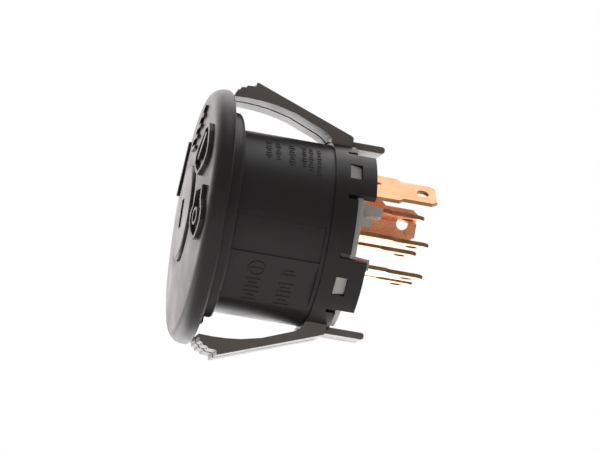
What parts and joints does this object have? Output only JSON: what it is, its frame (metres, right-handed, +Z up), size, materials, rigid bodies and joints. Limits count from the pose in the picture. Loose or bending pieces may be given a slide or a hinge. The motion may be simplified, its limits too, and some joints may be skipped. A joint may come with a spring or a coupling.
{
  "type": "key switch",
  "caption": "Round panel-mount rotary key switch with a snap-in collar, toothed spring wings and copper blade terminals at the rear.",
  "frame": {"origin": "centre of the bezel's rear face, where it seats on the panel", "axes": "+Y along the switch axis from the panel towards the terminals, the bezel faces -Y, +Z up in use, +X to the right seen from the front"},
  "size_m": [0.0508, 0.0486, 0.0546],
  "materials": {
    "housing_plastic": "fine textured moulding",
    "ring_plastic": "satin moulding",
    "wing_plastic": "satin moulding",
    "rotor_plastic": "satin moulding",
    "base_plastic": "satin grey moulding",
    "carrier_plastic": "natural moulding",
    "terminal_copper": "bare copper alloy strip, stamped",
    "contact_brass": "stamped strip",
    "spring_steel": "drawn wire",
    "ball_steel": "polished",
    "seal_rubber": "soft black rubber"
  },
  "bodies": {
    "housing": {"front_housing": "housing_plastic", "retaining_ring": "ring_plastic", "terminal_base": "base_plastic", "return_spring": "spring_steel", "terminal_upper_near": "terminal_copper", "terminal_upper_middle": "terminal_copper", "terminal_upper_far": "terminal_copper", "terminal_centre_near": "terminal_copper", "terminal_centre_far": "terminal_copper", "terminal_lower_near": "terminal_copper", "terminal_lower_far": "terminal_copper"},
    "rotor": {"key_rotor": "rotor_plastic", "rotor_seal": "seal_rubber", "detent_ball_near": "ball_steel", "detent_ball_far": "ball_steel", "detent_spring_near": "spring_steel", "detent_spring_far": "spring_steel", "contact_carrier": "carrier_plastic", "bridge_contact_upper": "contact_brass", "bridge_contact_far": "contact_brass", "bridge_contact_lower": "contact_brass", "contact_spring_upper": "spring_steel", "contact_spring_far": "spring_steel", "contact_spring_lower": "spring_steel"},
    "upper_wing": {"upper_retaining_wing": "wing_plastic"},
    "lower_wing": {"lower_retaining_wing": "wing_plastic"}
  },
  "joints": [
    {"name": "key_turn", "type": "hinge", "parent": "housing", "child": "rotor", "pos_m": [0, 0, 0], "axis": [0, 1, 0], "range_deg": [0, 90], "deforming": ["return_spring"]},
    {"name": "upper_wing_flex", "type": "hinge", "parent": "housing", "child": "upper_wing", "pos_m": [0, 0.0215, 0.0189], "axis": [1, 0, 0], "range_deg": [0, 13], "stiffness_Nm_per_rad": 1.5},
    {"name": "lower_wing_flex", "type": "hinge", "parent": "housing", "child": "lower_wing", "pos_m": [0, 0.0215, -0.0189], "axis": [-1, 0, 0], "range_deg": [0, 13], "stiffness_Nm_per_rad": 1.5}
  ]
}
